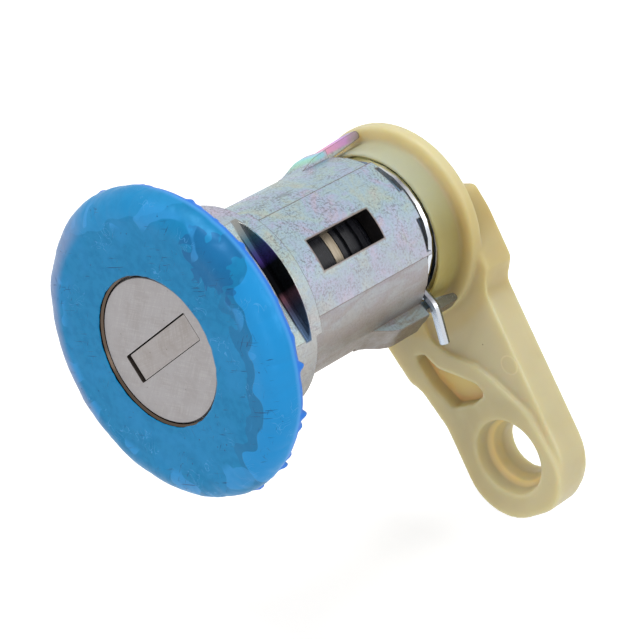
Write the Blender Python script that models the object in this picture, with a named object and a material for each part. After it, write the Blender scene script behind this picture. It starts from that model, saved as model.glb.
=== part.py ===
"""Car door lock: die-cast barrel, key plug with wafers, dust shutter, return spring and nylon lever.

The lock lies along Y. Its origin is on the key axis, in the face that seats on the door skin.
The key enters from -Y and the lever is at +Y. Lengths below are millimetres.
Most pieces are drawn with the barrel's window facing +X, then turned about Y by CLOCKING.
"""
import math

import bmesh
import bpy

MM = 0.001
SEGMENTS = 60
SMALL_SEGMENTS = 40
CLOCKING = 45.0

# Running and seating clearances
SEAT_GAP = 0.25
RUN_GAP = 0.2
FINE_GAP = 0.12

# Barrel housing, which most other sizes follow
BODY_RADIUS = 9.4
BODY_LENGTH = 25.7
BODY_WALL = 1.4
THROAT_STEP = 1.5
HEAD_STEP = 0.5
NECK_STEP = 1.7
NECK_LENGTH = 7.0
NECK_FILLET = 0.3
EDGE = 0.25
REAR_EDGE = 0.1
BORE_RADIUS = BODY_RADIUS - BODY_WALL
THROAT_RADIUS = BORE_RADIUS - THROAT_STEP
HEAD_BORE = BORE_RADIUS - HEAD_STEP
NECK_RADIUS = BODY_RADIUS + NECK_STEP

# Clip flats on both sides of the neck
FLAT_DEPTH = 2.35
FLAT_START = 0.35
FLAT_WALL = 1.8
FLAT_COVE = 0.7
FLAT_DISTANCE = NECK_RADIUS - FLAT_DEPTH
FLAT_END = NECK_LENGTH - FLAT_WALL

# Raised panel, its collar band, window and rear notches; angles are from the window's middle
PANEL_RISE = 0.55
PANEL_FROM = -32.5
PANEL_TO = 36.0
COLLAR_LENGTH = 0.55
COLLAR_HALF_ANGLE = 38.0
NOTCH_FROM = 9.5
NOTCH_TO = 30.0
NOTCH_DEPTH = 0.6
PANEL_RADIUS = BODY_RADIUS + PANEL_RISE
COLLAR_END = NECK_LENGTH + COLLAR_LENGTH
WINDOW_LENGTH = 0.35 * BODY_LENGTH
WINDOW_START = 0.782 * BODY_LENGTH - WINDOW_LENGTH
WINDOW_WIDTH = 0.36 * BODY_RADIUS
WINDOW_CORNER = 0.3

# Return spring wire, which the fins' tongues and the lever are set out from
WIRE = 1.05
LEG_GAP = 0.325
LEG_STATION = BODY_LENGTH + LEG_GAP + WIRE / 2.0

# Two spring fins, keyed 1 at +FIN_ANGLE and -1 at -FIN_ANGLE from the window's middle
FIN_ANGLE = 76.0
FIN_NEAR = 1.0
FIN_FAR = 2.2
FIN_ROUND = 0.6
FIN_LENGTHS = {1: 5.0, -1: 8.6}
FIN_RAMPS = {1: 3.6, -1: 4.4}
FIN_RISES = {1: 0.75, -1: 1.4}
TONGUE_RISES = {1: 1.2, -1: 1.45}
TONGUE_LENGTHS = {1: 5.3, -1: 4.8}
TONGUE_WIDTH = 1.3
TONGUE_NOSE = 0.5
SADDLE_RISE = 0.75
SADDLE_WIDTH = WIRE + 0.3
SADDLE_RADIUS = BODY_RADIUS + SADDLE_RISE

# Bezel and its peel-off film
BEZEL_RADIUS = 16.0
BEZEL_FRONT = -3.84
BEZEL_RIM = -1.57
BEZEL_DOME = 2.6
BEZEL_WALL = 0.5
BEZEL_ROLL = 0.6
BEZEL_LIP = 1.1
BEZEL_HOLE = HEAD_BORE + SEAT_GAP
FILM_WALL = 0.12
FILM_GAP = 0.05
FILM_TRIM = 0.1

# Face plate, key slot and dust shutter
FACE_RECESS = 0.14
FACE_THICKNESS = 0.5
FACE_RADIUS = BEZEL_HOLE - FINE_GAP
FACE_FRONT = BEZEL_FRONT + FACE_RECESS
SLOT_LENGTH = 1.475 * FACE_RADIUS
SLOT_WIDTH = 0.406 * FACE_RADIUS
SLOT_OFFSET = 0.082 * FACE_RADIUS
SHUTTER_THICKNESS = 0.5
SHUTTER_SIDE_GAP = 0.2
SHUTTER_LOW_GAP = 0.65
SHUTTER_HIGH_GAP = FINE_GAP
PIVOT_DROP = 1.35
PIVOT_DEPTH = 1.4
PIVOT_PIN = 0.4
KNUCKLE_RADIUS = 0.7
KNUCKLE_LENGTH = 0.635 * SLOT_LENGTH
SWING_ROOM = 0.55
PIVOT_V = -SLOT_WIDTH / 2.0 - PIVOT_DROP
PIVOT_Y = FACE_FRONT + PIVOT_DEPTH
SHUTTER_SWEEP = math.hypot(SLOT_WIDTH / 2.0 - PIVOT_V, PIVOT_Y - FACE_FRONT)
HEAD_BORE_DEPTH = PIVOT_Y + SHUTTER_SWEEP + SWING_ROOM
THROAT_WALL = 0.6
THROAT_END = HEAD_BORE_DEPTH + THROAT_WALL

# Key plug
HEAD_RADIUS = HEAD_BORE - 0.3
BARREL_RADIUS = THROAT_RADIUS - RUN_GAP
TAIL_RADIUS = 0.572 * BARREL_RADIUS
TAIL_FLAT = 0.75 * TAIL_RADIUS
TAIL_SHOULDER = 1.4
TAIL_BOSS_RADIUS = TAIL_RADIUS + TAIL_SHOULDER
KEYWAY_HEIGHT = 1.365 * BARREL_RADIUS
KEYWAY_WIDTH = 0.381 * BARREL_RADIUS
HEAD_FRONT = FACE_FRONT + FACE_THICKNESS + FINE_GAP
HEAD_REAR = HEAD_BORE_DEPTH - SEAT_GAP

# Sleeve round the plug and the ring in its seat
SLEEVE_RADIUS = BORE_RADIUS - RUN_GAP
SLEEVE_START = THROAT_END + SEAT_GAP
SLEEVE_END = BODY_LENGTH - RUN_GAP
SLEEVE_GROOVE = 0.35
SLEEVE_PITCH = 1.75
SLEEVE_GROOVES = 3
SLEEVE_EDGE = 0.15
RING_INSET = 3.8
RING_WIDTH = 1.1
RING_WALL = 0.4
RING_GAP_ANGLE = 12.0
RING_START = WINDOW_START + RING_INSET

# Wafers and their springs
WAFER_COUNT = 6
WAFER_LEAD = 1.7
WAFER_TRAIL = 4.0
WAFER_THICKNESS = 1.1
WAFER_PROUD = 0.45
WAFER_TRAVEL = 0.8
WAFER_BITE = 0.35
WAFER_WIDTH = 0.73 * BARREL_RADIUS
WAFER_ARM = 0.62 * BARREL_RADIUS
ARM_BASE = 0.1
ARM_HEIGHT = 0.9
SPRING_WELL = 0.413 * BARREL_RADIUS
WAFER_SPRING_WIRE = 0.22
WAFER_SPRING_RADIUS = 0.38
WAFER_FIRST = THROAT_END + WAFER_LEAD
WAFER_PITCH = (SLEEVE_END - WAFER_TRAIL - WAFER_FIRST) / (WAFER_COUNT - 1)
WAFER_GROOVE_RADIUS = BARREL_RADIUS + WAFER_PROUD + RUN_GAP

# Return spring
COIL_STEP = 1.55
COIL_PITCH = 1.13
COIL_LEAD = 1.2
COIL_START_ANGLE = -66.0
COIL_STEPS = 28
LEAD_TURNS = 0.15
LEG_REACH = 4.25
COIL_RADIUS = BODY_RADIUS - COIL_STEP
COIL_START = LEG_STATION + COIL_LEAD
LEG_TIP = BODY_RADIUS + LEG_REACH

# Lever
ARM_ANGLE = -54.2
ARM_LENGTH = 27.5
ARM_THICKNESS = 4.95
ARM_STEP = 0.7
LEVER_SWING = 40.0
ROUNDING = 0.35
HUB_RIM = 2.95
HUB_THICKNESS = 1.5
WEB_STEP = 1.6
WEB_RISE = 1.2
BOSS_STEP = 1.3
POCKET_DEPTH = 1.9
REAR_POCKET_DEPTH = 1.6
EYE_RADIUS = 3.0
EYE_DISH = 4.3
EYE_LIP = 3.25
EYE_END = 6.85
COLLAR_WALL = 0.425
HUB_RADIUS = COIL_RADIUS + HUB_RIM
HUB_FRONT = BODY_LENGTH + max(TONGUE_LENGTHS.values()) + SEAT_GAP
HUB_BOSS = COIL_RADIUS - WIRE / 2.0 - BOSS_STEP
WEB_RADIUS = HUB_RADIUS - WEB_STEP
ARM_FLOOR = HUB_FRONT + ARM_STEP
ARM_REAR = HUB_FRONT + ARM_THICKNESS
COLLAR_BORE = COIL_RADIUS + WIRE / 2.0 + RUN_GAP
COLLAR_SET_BACK = 0.8
COLLAR_FRONT = LEG_STATION + WIRE / 2.0 + COLLAR_SET_BACK

# Washer and circlip on the tail
WASHER_THICKNESS = 0.6
CLIP_THICKNESS = 0.7
CLIP_RIM = 1.6
CLIP_DEPTH = 0.65
TAIL_TIP = 0.9
CLIP_RADIUS = TAIL_RADIUS + CLIP_RIM
CLIP_GROOVE = TAIL_RADIUS - CLIP_DEPTH
TAIL_BOSS_START = BODY_LENGTH + 0.3
TAIL_START = HUB_FRONT - SEAT_GAP
WASHER_START = ARM_REAR + FINE_GAP
CLIP_START = WASHER_START + WASHER_THICKNESS + FINE_GAP
TAIL_END = CLIP_START + CLIP_THICKNESS + TAIL_TIP

# Largest distance between a drawn curve and its chords, and bend in degrees that still counts as flat
CHORD_ERROR = 0.02
FLAT_LIMIT = 0.5


def clear_scene():
    for item in list(bpy.data.objects):
        bpy.data.objects.remove(item, do_unlink=True)


def material(name, colour, roughness, metallic):
    finish = bpy.data.materials.new(name)
    finish.use_nodes = True
    shader = finish.node_tree.nodes["Principled BSDF"]
    shader.inputs["Base Color"].default_value = (*colour, 1.0)
    shader.inputs["Roughness"].default_value = roughness
    shader.inputs["Metallic"].default_value = metallic
    finish.diffuse_color = (*colour, 1.0)
    return finish


def make_materials():
    return {
        "film": material("film", (0.03, 0.30, 0.58), 0.25, 0.0),
        "chrome": material("chrome", (0.75, 0.76, 0.78), 0.12, 1.0),
        "steel": material("steel", (0.60, 0.57, 0.54), 0.35, 1.0),
        "zinc": material("zinc", (0.62, 0.64, 0.65), 0.4, 1.0),
        "black": material("black", (0.02, 0.02, 0.025), 0.35, 0.0),
        "brass": material("brass", (0.62, 0.52, 0.36), 0.35, 1.0),
        "spring": material("spring", (0.78, 0.80, 0.82), 0.15, 1.0),
        "nylon": material("nylon", (0.72, 0.66, 0.42), 0.45, 0.0),
    }


def make_object(name, mesh_data, finish, parent=None, smooth=35.0):
    """Turn a bmesh drawn in millimetres into an object in metres; faces of flat regions stay flat."""
    bmesh.ops.recalc_face_normals(mesh_data, faces=mesh_data.faces)
    for face in mesh_data.faces:
        bends = [math.degrees(edge.calc_face_angle(0.0)) for edge in face.edges]
        face.smooth = any(FLAT_LIMIT < bend < smooth for bend in bends)
    bmesh.ops.scale(mesh_data, vec=(MM, MM, MM), verts=mesh_data.verts)
    mesh = bpy.data.meshes.new(name)
    mesh_data.to_mesh(mesh)
    mesh_data.free()
    item = bpy.data.objects.new(name, mesh)
    bpy.context.collection.objects.link(item)
    if finish is not None:
        mesh.materials.append(finish)
    mesh.set_sharp_from_angle(angle=math.radians(smooth))
    item.parent = parent
    return item


def combine(target, cutter, operation):
    """Add a live Boolean and hide its operand from the model."""
    modifier = target.modifiers.new(cutter.name, "BOOLEAN")
    modifier.operation = operation
    modifier.solver = "EXACT"
    modifier.object = cutter
    cutter.parent = target.parent
    cutter.hide_render = True
    cutter.display_type = "WIRE"


def cut(target, cutter):
    combine(target, cutter, "DIFFERENCE")


def fuse(target, addition):
    combine(target, addition, "UNION")


def polar(radius, degrees):
    angle = math.radians(degrees)
    return radius * math.cos(angle), radius * math.sin(angle)


def arc(centre, radius, start, end, steps):
    points = []
    for step in range(steps + 1):
        x, y = polar(radius, start + (end - start) * step / steps)
        points.append((centre[0] + x, centre[1] + y))
    return points


def rounded(corners):
    """Outline with round corners, from (x, y, radius) points."""
    outline = []
    count = len(corners)
    for index, (x, y, radius) in enumerate(corners):
        if radius <= 0.0:
            outline.append((x, y))
            continue
        before = corners[index - 1]
        after = corners[(index + 1) % count]
        ax, ay = before[0] - x, before[1] - y
        bx, by = after[0] - x, after[1] - y
        a_length, b_length = math.hypot(ax, ay), math.hypot(bx, by)
        ax, ay, bx, by = ax / a_length, ay / a_length, bx / b_length, by / b_length
        half = math.acos(max(-1.0, min(1.0, ax * bx + ay * by))) / 2.0
        reach = min(radius / math.tan(half), 0.499 * min(a_length, b_length))
        size = reach * math.tan(half)
        mx, my = ax + bx, ay + by
        length = math.hypot(mx, my)
        cx = x + mx / length * size / math.sin(half)
        cy = y + my / length * size / math.sin(half)
        start = math.atan2(y + ay * reach - cy, x + ax * reach - cx)
        end = math.atan2(y + by * reach - cy, x + bx * reach - cx)
        turn = (end - start + math.pi) % (2.0 * math.pi) - math.pi
        flat = 2.0 * math.acos(max(0.0, 1.0 - CHORD_ERROR / size))
        steps = max(2, math.ceil(abs(turn) / flat))
        for step in range(steps + 1):
            angle = start + turn * step / steps
            outline.append((cx + size * math.cos(angle), cy + size * math.sin(angle)))
    return outline


def lathe(profile, segments=SEGMENTS, start=0.0):
    """Revolve a closed (radius, y) loop about Y; points at radius 0 share one vertex."""
    mesh = bmesh.new()
    rings = []
    for radius, station in profile:
        if radius < 1e-9:
            rings.append([mesh.verts.new((0.0, station, 0.0))] * segments)
            continue
        ring = []
        for step in range(segments):
            x, z = polar(radius, start + 360.0 * step / segments)
            ring.append(mesh.verts.new((x, station, z)))
        rings.append(ring)
    for index, ring in enumerate(rings):
        following = rings[(index + 1) % len(rings)]
        for step in range(segments):
            after = (step + 1) % segments
            corners = [ring[step], ring[after], following[after], following[step]]
            unique = list(dict.fromkeys(corners))
            if len(unique) > 2:
                mesh.faces.new(unique)
    return mesh


def prism(outline, start, end, bevel_front=0.0, bevel_rear=0.0, steps=2):
    """Extrude an (x, z) outline along Y, with optional round edges at each end."""
    mesh = bmesh.new()
    front = [mesh.verts.new((x, start, z)) for x, z in outline]
    rear = [mesh.verts.new((x, end, z)) for x, z in outline]
    count = len(outline)
    mesh.faces.new(front)
    mesh.faces.new(list(reversed(rear)))
    for index in range(count):
        after = (index + 1) % count
        mesh.faces.new([front[index], rear[index], rear[after], front[after]])
    for ring, width in ((front, bevel_front), (rear, bevel_rear)):
        if width > 0.0:
            edges = [ring[i].link_edges for i in range(count)]
            rim = {e for group in edges for e in group if all(v in ring for v in e.verts)}
            bmesh.ops.bevel(mesh, geom=list(rim), offset=width, segments=steps, profile=0.5,
                            affect="EDGES", clamp_overlap=True)
    return mesh


def extrusion_across(outline, low, high):
    """Extrude an (x, y) outline along Z."""
    mesh = bmesh.new()
    near = [mesh.verts.new((x, y, low)) for x, y in outline]
    far = [mesh.verts.new((x, y, high)) for x, y in outline]
    count = len(outline)
    mesh.faces.new(near)
    mesh.faces.new(list(reversed(far)))
    for index in range(count):
        after = (index + 1) % count
        mesh.faces.new([near[index], far[index], far[after], near[after]])
    return mesh


def box(low, high):
    outline = [(low[0], low[1]), (high[0], low[1]), (high[0], high[1]), (low[0], high[1])]
    return extrusion_across(outline, low[2], high[2])


def turn_about_y(mesh, degrees):
    """Turn drawn geometry from +X towards +Z."""
    angle = math.radians(degrees)
    for vertex in mesh.verts:
        x, z = vertex.co.x, vertex.co.z
        vertex.co.x = x * math.cos(angle) - z * math.sin(angle)
        vertex.co.z = x * math.sin(angle) + z * math.cos(angle)
    return mesh


def bar_along_x(radius, low, high, v, y, segments=16):
    """Round bar along X through the point (y, z) = (y, v)."""
    mesh = lathe([(0.0, low), (radius, low), (radius, high), (0.0, high)], segments)
    for vertex in mesh.verts:
        along, a, b = vertex.co.y, vertex.co.x, vertex.co.z
        vertex.co = (along, y + a, v + b)
    return mesh


def sector(inner, outer, angles, start, end, steps=24):
    """Block between two radii, two angles and two stations."""
    outline = arc((0.0, 0.0), outer, angles[0], angles[1], steps)
    outline += arc((0.0, 0.0), inner, angles[1], angles[0], steps)
    return prism(outline, start, end)


def wire_along(points, radius, sides=8):
    """Closed round wire along a list of (x, y, z) points."""
    from mathutils import Vector
    path = [Vector(point) for point in points]
    mesh = bmesh.new()
    rings = []
    across = None
    for index, point in enumerate(path):
        ahead = path[min(index + 1, len(path) - 1)] - path[max(index - 1, 0)]
        ahead.normalize()
        if across is None:
            across = ahead.orthogonal().normalized()
        across = (across - ahead * across.dot(ahead)).normalized()
        beside = ahead.cross(across)
        ring = []
        for side in range(sides):
            a, b = polar(radius, 360.0 * side / sides)
            ring.append(mesh.verts.new(point + across * a + beside * b))
        rings.append(ring)
    for ring, following in zip(rings, rings[1:]):
        for side in range(sides):
            after = (side + 1) % sides
            mesh.faces.new([ring[side], ring[after], following[after], following[side]])
    mesh.faces.new(list(reversed(rings[0])))
    mesh.faces.new(rings[-1])
    return mesh


def rounded_path(corners, radius, steps=4):
    """Path of (x, y, z) points with its inner corners turned into short bends."""
    from mathutils import Vector
    points = [Vector(corner) for corner in corners]
    path = [points[0]]
    for before, corner, after in zip(points, points[1:], points[2:]):
        back, ahead = before - corner, after - corner
        reach = min(radius, 0.45 * back.length, 0.45 * ahead.length)
        start = corner + back.normalized() * reach
        end = corner + ahead.normalized() * reach
        for step in range(steps + 1):
            t = step / steps
            path.append(start * (1 - t) ** 2 + corner * 2 * t * (1 - t) + end * t ** 2)
    path.append(points[-1])
    return [tuple(point) for point in path]


def bezel_skin(offset, inner):
    """Outer face of the bezel moved outwards by offset, from the hole to the rolled rim."""
    rise = BEZEL_RIM - BEZEL_FRONT + offset
    reach = BEZEL_DOME + offset
    points = [(inner, BEZEL_RIM - rise)]
    for step in range(6):
        angle = math.radians(90.0 * step / 5)
        points.append((BEZEL_RADIUS - BEZEL_DOME + reach * math.sin(angle),
                       BEZEL_RIM - rise * math.cos(angle)))
    roll = max(BEZEL_ROLL + offset, 0.1)
    centre = BEZEL_RADIUS + offset - roll
    for step in range(1, 3):
        angle = math.radians(75.0 * step / 2)
        points.append((centre + roll * math.cos(angle), BEZEL_RIM + roll * math.sin(angle)))
    return points


def make_bezel(finish, axis):
    outer = bezel_skin(0.0, BEZEL_HOLE + 0.2)
    inner = bezel_skin(-BEZEL_WALL, BEZEL_HOLE + BEZEL_WALL)
    lip = BEZEL_FRONT + BEZEL_LIP
    profile = [(BEZEL_HOLE, lip), (BEZEL_HOLE, BEZEL_FRONT + 0.2)] + outer
    profile += list(reversed(inner)) + [(BEZEL_HOLE + BEZEL_WALL, lip)]
    return make_object("bezel", lathe(profile), finish, axis)


def make_film(finish, axis):
    inner = bezel_skin(FILM_GAP, BEZEL_HOLE + FILM_TRIM)
    outer = bezel_skin(FILM_GAP + FILM_WALL, BEZEL_HOLE + FILM_TRIM)
    return make_object("protective_film", lathe(outer + list(reversed(inner))), finish, axis)


def housing_profile():
    flange = bezel_skin(-BEZEL_WALL - SEAT_GAP, BEZEL_HOLE + BEZEL_WALL + SEAT_GAP)[:7]
    flange_side = flange[-1][0]
    flange_front = flange[0][1]
    lip_seat = BEZEL_FRONT + BEZEL_LIP + SEAT_GAP
    profile = [(HEAD_BORE, lip_seat), (flange[0][0], lip_seat)]
    profile += flange
    profile += [(flange_side, -EDGE), (flange_side - EDGE, 0.0)]
    profile += [(NECK_RADIUS + NECK_FILLET, 0.0), (NECK_RADIUS, NECK_FILLET)]
    profile += [(NECK_RADIUS, NECK_LENGTH - EDGE), (NECK_RADIUS - EDGE, NECK_LENGTH)]
    profile += [(BODY_RADIUS + NECK_FILLET, NECK_LENGTH), (BODY_RADIUS, NECK_LENGTH + NECK_FILLET)]
    profile += [(BODY_RADIUS, BODY_LENGTH - REAR_EDGE), (BODY_RADIUS - REAR_EDGE, BODY_LENGTH)]
    profile += [(BORE_RADIUS, BODY_LENGTH), (BORE_RADIUS, THROAT_END), (THROAT_RADIUS, THROAT_END)]
    profile += [(THROAT_RADIUS, HEAD_BORE_DEPTH), (HEAD_BORE, HEAD_BORE_DEPTH)]
    assert flange_front < lip_seat
    return profile


def fin_outline(side):
    """Side view of a fin as (y, radius): hollow ramp, crest, round tongue tip, sloped underside."""
    root = BORE_RADIUS + 0.5
    low = BODY_RADIUS - 0.15
    start = BODY_LENGTH - FIN_LENGTHS[side]
    rise = BODY_RADIUS + FIN_RISES[side] - low
    tip = BODY_RADIUS + TONGUE_RISES[side]
    end = BODY_LENGTH + TONGUE_LENGTHS[side]
    ramp = []
    for step in range(7):
        t = step / 6
        ease = t * t * (3.0 - 2.0 * t)
        ramp.append((start + FIN_RAMPS[side] * t, low + rise * ease))
    nose = arc((end - TONGUE_NOSE, tip - TONGUE_NOSE), TONGUE_NOSE, 90.0, -50.0, 6)
    heel = [(BODY_LENGTH + 0.6, BODY_RADIUS - 0.25), (BODY_LENGTH - 0.15, BODY_RADIUS - 0.6)]
    return ramp + nose + heel + [(BODY_LENGTH - 0.3, root), (start, root)]


def fin_solid(side):
    """Fin with round shoulders, wide on the barrel, mostly on the side away from the panel."""
    low, high = sorted((side * FIN_FAR, -side * FIN_NEAR))
    mesh = extrusion_across([(radius, station) for station, radius in fin_outline(side)], low, high)
    shoulder = BODY_RADIUS + 0.1
    edges = [edge for edge in mesh.edges
             if all(v.co.x > shoulder for v in edge.verts) and edge.verts[0].co.z == edge.verts[1].co.z]
    bmesh.ops.bevel(mesh, geom=edges, offset=FIN_ROUND, segments=3, profile=0.5, affect="EDGES",
                    clamp_overlap=True)
    return turn_about_y(mesh, side * FIN_ANGLE)


def tongue_relief(side, face):
    """Cutter that thins the tongue behind the barrel on one face."""
    inner, outer = sorted((face * TONGUE_WIDTH / 2.0, face * FIN_FAR * 1.5))
    end = BODY_LENGTH + TONGUE_LENGTHS[side]
    mesh = box((BODY_RADIUS - 0.9, BODY_LENGTH - 0.2, inner), (NECK_RADIUS + 1.0, end + 1.0, outer))
    return turn_about_y(mesh, side * FIN_ANGLE)


def spring_saddle():
    """Cutter for the seat in the lower tongue where the spring's leg crosses."""
    low, high = LEG_STATION - SADDLE_WIDTH / 2.0, LEG_STATION + SADDLE_WIDTH / 2.0
    outline = [(SADDLE_RADIUS, low), (SADDLE_RADIUS, high), (NECK_RADIUS + 1.0, high + 0.8),
               (NECK_RADIUS + 1.0, low - 0.4)]
    mesh = extrusion_across(outline, -FIN_FAR, FIN_FAR)
    return turn_about_y(mesh, -FIN_ANGLE)


def clip_flat(turn):
    """Cutter for a clip flat with a coved rear wall."""
    high = NECK_RADIUS + 1.0
    outline = [(FLAT_DISTANCE, FLAT_START), (FLAT_DISTANCE, FLAT_END)]
    outline += arc((FLAT_DISTANCE + FLAT_COVE, FLAT_END), FLAT_COVE, 180.0, 90.0, 4)[1:]
    outline += [(high, FLAT_END + FLAT_COVE), (high, FLAT_START)]
    return turn_about_y(extrusion_across(outline, -NECK_RADIUS, NECK_RADIUS), turn)


def window_cutter():
    low, high = WINDOW_START, WINDOW_START + WINDOW_LENGTH
    half = WINDOW_WIDTH / 2.0
    corners = [(low, -half), (high, -half), (high, half), (low, half)]
    outline = rounded([(y, z, WINDOW_CORNER) for y, z in corners])
    mesh = extrusion_across([(z, y) for y, z in outline], BORE_RADIUS - 1.0, PANEL_RADIUS + 1.0)
    for vertex in mesh.verts:
        across, station, out = vertex.co
        vertex.co = (out, station, across)
    return mesh


def make_housing(finish, axis):
    housing = make_object("housing", lathe(housing_profile()), finish, axis)
    inside = BORE_RADIUS + 0.6
    panel = sector(inside, PANEL_RADIUS, (PANEL_FROM, PANEL_TO), NECK_LENGTH - 0.5, BODY_LENGTH)
    fuse(housing, make_object("panel_block", panel, None))
    reach = (-COLLAR_HALF_ANGLE, COLLAR_HALF_ANGLE)
    collar = sector(inside, NECK_RADIUS, reach, NECK_LENGTH - 0.8, COLLAR_END)
    fuse(housing, make_object("collar_block", collar, None))
    for side in (1, -1):
        fuse(housing, make_object(f"fin_block_{side}", fin_solid(side), None))
    for side in (1, -1):
        for face in (1, -1):
            relief = tongue_relief(side, face)
            cut(housing, make_object(f"tongue_relief_{side}_{face}", relief, None))
    cut(housing, make_object("spring_saddle", spring_saddle(), None))
    for turn in (0.0, 180.0):
        cut(housing, make_object(f"clip_flat_{turn:.0f}", clip_flat(turn), None))
    cut(housing, make_object("window_cutter", window_cutter(), None))
    for side in (1, -1):
        notch = sector(BORE_RADIUS - 1.0, PANEL_RADIUS + 1.0, sorted((side * NOTCH_FROM, side * NOTCH_TO)),
                       BODY_LENGTH - NOTCH_DEPTH, BODY_LENGTH + 1.0, 8)
        cut(housing, make_object(f"notch_{side}", notch, None))
    return housing


def slot_outline(low_gap, high_gap, side_gap, radius):
    """Outline of the key slot, drawn in by a gap at each end and along its sides."""
    low = SLOT_OFFSET - SLOT_LENGTH / 2.0 + low_gap
    high = SLOT_OFFSET + SLOT_LENGTH / 2.0 - high_gap
    half = SLOT_WIDTH / 2.0 - side_gap
    corners = [(low, -half, radius), (high, -half, radius), (high, half, radius), (low, half, radius)]
    return rounded(corners)


def make_face_plate(finish, axis):
    disc = lathe([(0.0, FACE_FRONT), (FACE_RADIUS - 0.1, FACE_FRONT), (FACE_RADIUS, FACE_FRONT + 0.1),
                  (FACE_RADIUS, FACE_FRONT + FACE_THICKNESS), (0.0, FACE_FRONT + FACE_THICKNESS)])
    plate = make_object("face_plate", disc, finish, axis)
    slot = prism(slot_outline(0.0, 0.0, 0.0, 0.15), FACE_FRONT - 1.0, FACE_FRONT + 1.0)
    cut(plate, make_object("slot_cutter", slot, None))
    return plate


def wafer_station(index):
    return WAFER_FIRST + WAFER_PITCH * index


def plug_profile():
    return [(0.0, HEAD_FRONT), (HEAD_RADIUS, HEAD_FRONT), (HEAD_RADIUS, HEAD_REAR),
            (BARREL_RADIUS, HEAD_REAR), (BARREL_RADIUS, TAIL_BOSS_START),
            (TAIL_BOSS_RADIUS, TAIL_BOSS_START), (TAIL_BOSS_RADIUS, TAIL_START),
            (TAIL_RADIUS, TAIL_START), (TAIL_RADIUS, CLIP_START - FINE_GAP),
            (CLIP_GROOVE, CLIP_START - FINE_GAP), (CLIP_GROOVE, CLIP_START + CLIP_THICKNESS + FINE_GAP),
            (TAIL_RADIUS, CLIP_START + CLIP_THICKNESS + FINE_GAP), (TAIL_RADIUS, TAIL_END - 0.3),
            (TAIL_RADIUS - 0.3, TAIL_END), (0.0, TAIL_END)]


def make_plug(finish, axis):
    plug = make_object("key_plug", lathe(plug_profile(), SMALL_SEGMENTS), finish, axis)
    cavity_low = PIVOT_V - KNUCKLE_RADIUS - RUN_GAP
    cavity_deep = PIVOT_Y + SHUTTER_SWEEP - RUN_GAP
    front = HEAD_FRONT - 1.0
    reach = SLOT_LENGTH / 2.0 + 0.1
    upper = box((SLOT_OFFSET - reach, front, PIVOT_V + KNUCKLE_RADIUS + 0.1),
                (SLOT_OFFSET + reach, cavity_deep, PIVOT_V + SHUTTER_SWEEP + RUN_GAP))
    cut(plug, make_object("flap_space", upper, None))
    half = KNUCKLE_LENGTH / 2.0 + 0.9
    lower = box((SLOT_OFFSET - half, front, cavity_low),
                (SLOT_OFFSET + half, cavity_deep, PIVOT_V + KNUCKLE_RADIUS + 0.3))
    cut(plug, make_object("knuckle_space", lower, None))
    low = SLOT_OFFSET - half - 1.0
    pin_hole = bar_along_x(PIVOT_PIN + FINE_GAP, low - FINE_GAP, HEAD_RADIUS + 1.0, PIVOT_V, PIVOT_Y)
    cut(plug, make_object("pin_hole", pin_hole, None))
    keyway = box((-KEYWAY_HEIGHT / 2.0, front, -KEYWAY_WIDTH / 2.0),
                 (KEYWAY_HEIGHT / 2.0, SLEEVE_END - 1.5, KEYWAY_WIDTH / 2.0))
    cut(plug, make_object("keyway", keyway, None))
    for index in range(WAFER_COUNT):
        station = wafer_station(index)
        half_y = WAFER_THICKNESS / 2.0 + FINE_GAP
        half_v = WAFER_WIDTH / 2.0 + FINE_GAP
        slot = box((-BARREL_RADIUS - 1.0, station - half_y, -half_v),
                   (BARREL_RADIUS + 1.0, station + half_y, half_v))
        cut(plug, make_object(f"wafer_slot_{index}", slot, None))
        pocket = box((-SPRING_WELL, station - half_y, half_v - 0.3),
                     (ARM_BASE + ARM_HEIGHT + RUN_GAP, station + half_y, WAFER_ARM + FINE_GAP))
        cut(plug, make_object(f"spring_pocket_{index}", pocket, None))
    for side in (1, -1):
        low, high = sorted((side * TAIL_FLAT, side * (TAIL_RADIUS + 1.0)))
        flat = box((-TAIL_RADIUS - 1.0, TAIL_START + 0.01, low), (TAIL_RADIUS + 1.0, TAIL_END + 1.0, high))
        cut(plug, make_object(f"tail_flat_{side}", flat, None))
    return plug


def make_wafer(index, finish, axis):
    """Wafer plate across the plug, with a key window and one side arm for its spring."""
    station = wafer_station(index)
    top = BARREL_RADIUS + WAFER_PROUD
    bottom = -BARREL_RADIUS + WAFER_PROUD + 0.35
    half = WAFER_WIDTH / 2.0
    end = arc((0.0, 0.0), top, -math.degrees(math.asin(half / top)),
              math.degrees(math.asin(half / top)), 6)
    foot = arc((0.0, 0.0), -bottom, 180.0 - math.degrees(math.asin(half / -bottom)),
               180.0 + math.degrees(math.asin(half / -bottom)), 6)
    arm_top = ARM_BASE + ARM_HEIGHT
    arm = [(arm_top, half), (arm_top, WAFER_ARM), (ARM_BASE, WAFER_ARM), (ARM_BASE, half)]
    wafer = make_object(f"wafer_{index + 1}",
                        prism(end + arm + foot, station - WAFER_THICKNESS / 2.0,
                              station + WAFER_THICKNESS / 2.0), finish, axis)
    bite = WAFER_BITE * math.sin(2.1 * index + 0.6)
    far = KEYWAY_HEIGHT / 2.0 - WAFER_BITE + bite
    near = 0.1 - KEYWAY_HEIGHT / 2.0
    side = KEYWAY_WIDTH / 2.0 + SEAT_GAP
    window = rounded([(near, -side, 0.3), (far, -side, 0.3), (far, side, 0.3), (near, side, 0.3)])
    cut(wafer, make_object(f"wafer_window_{index}",
                           prism(window, station - WAFER_THICKNESS, station + WAFER_THICKNESS), None))
    return wafer


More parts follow.
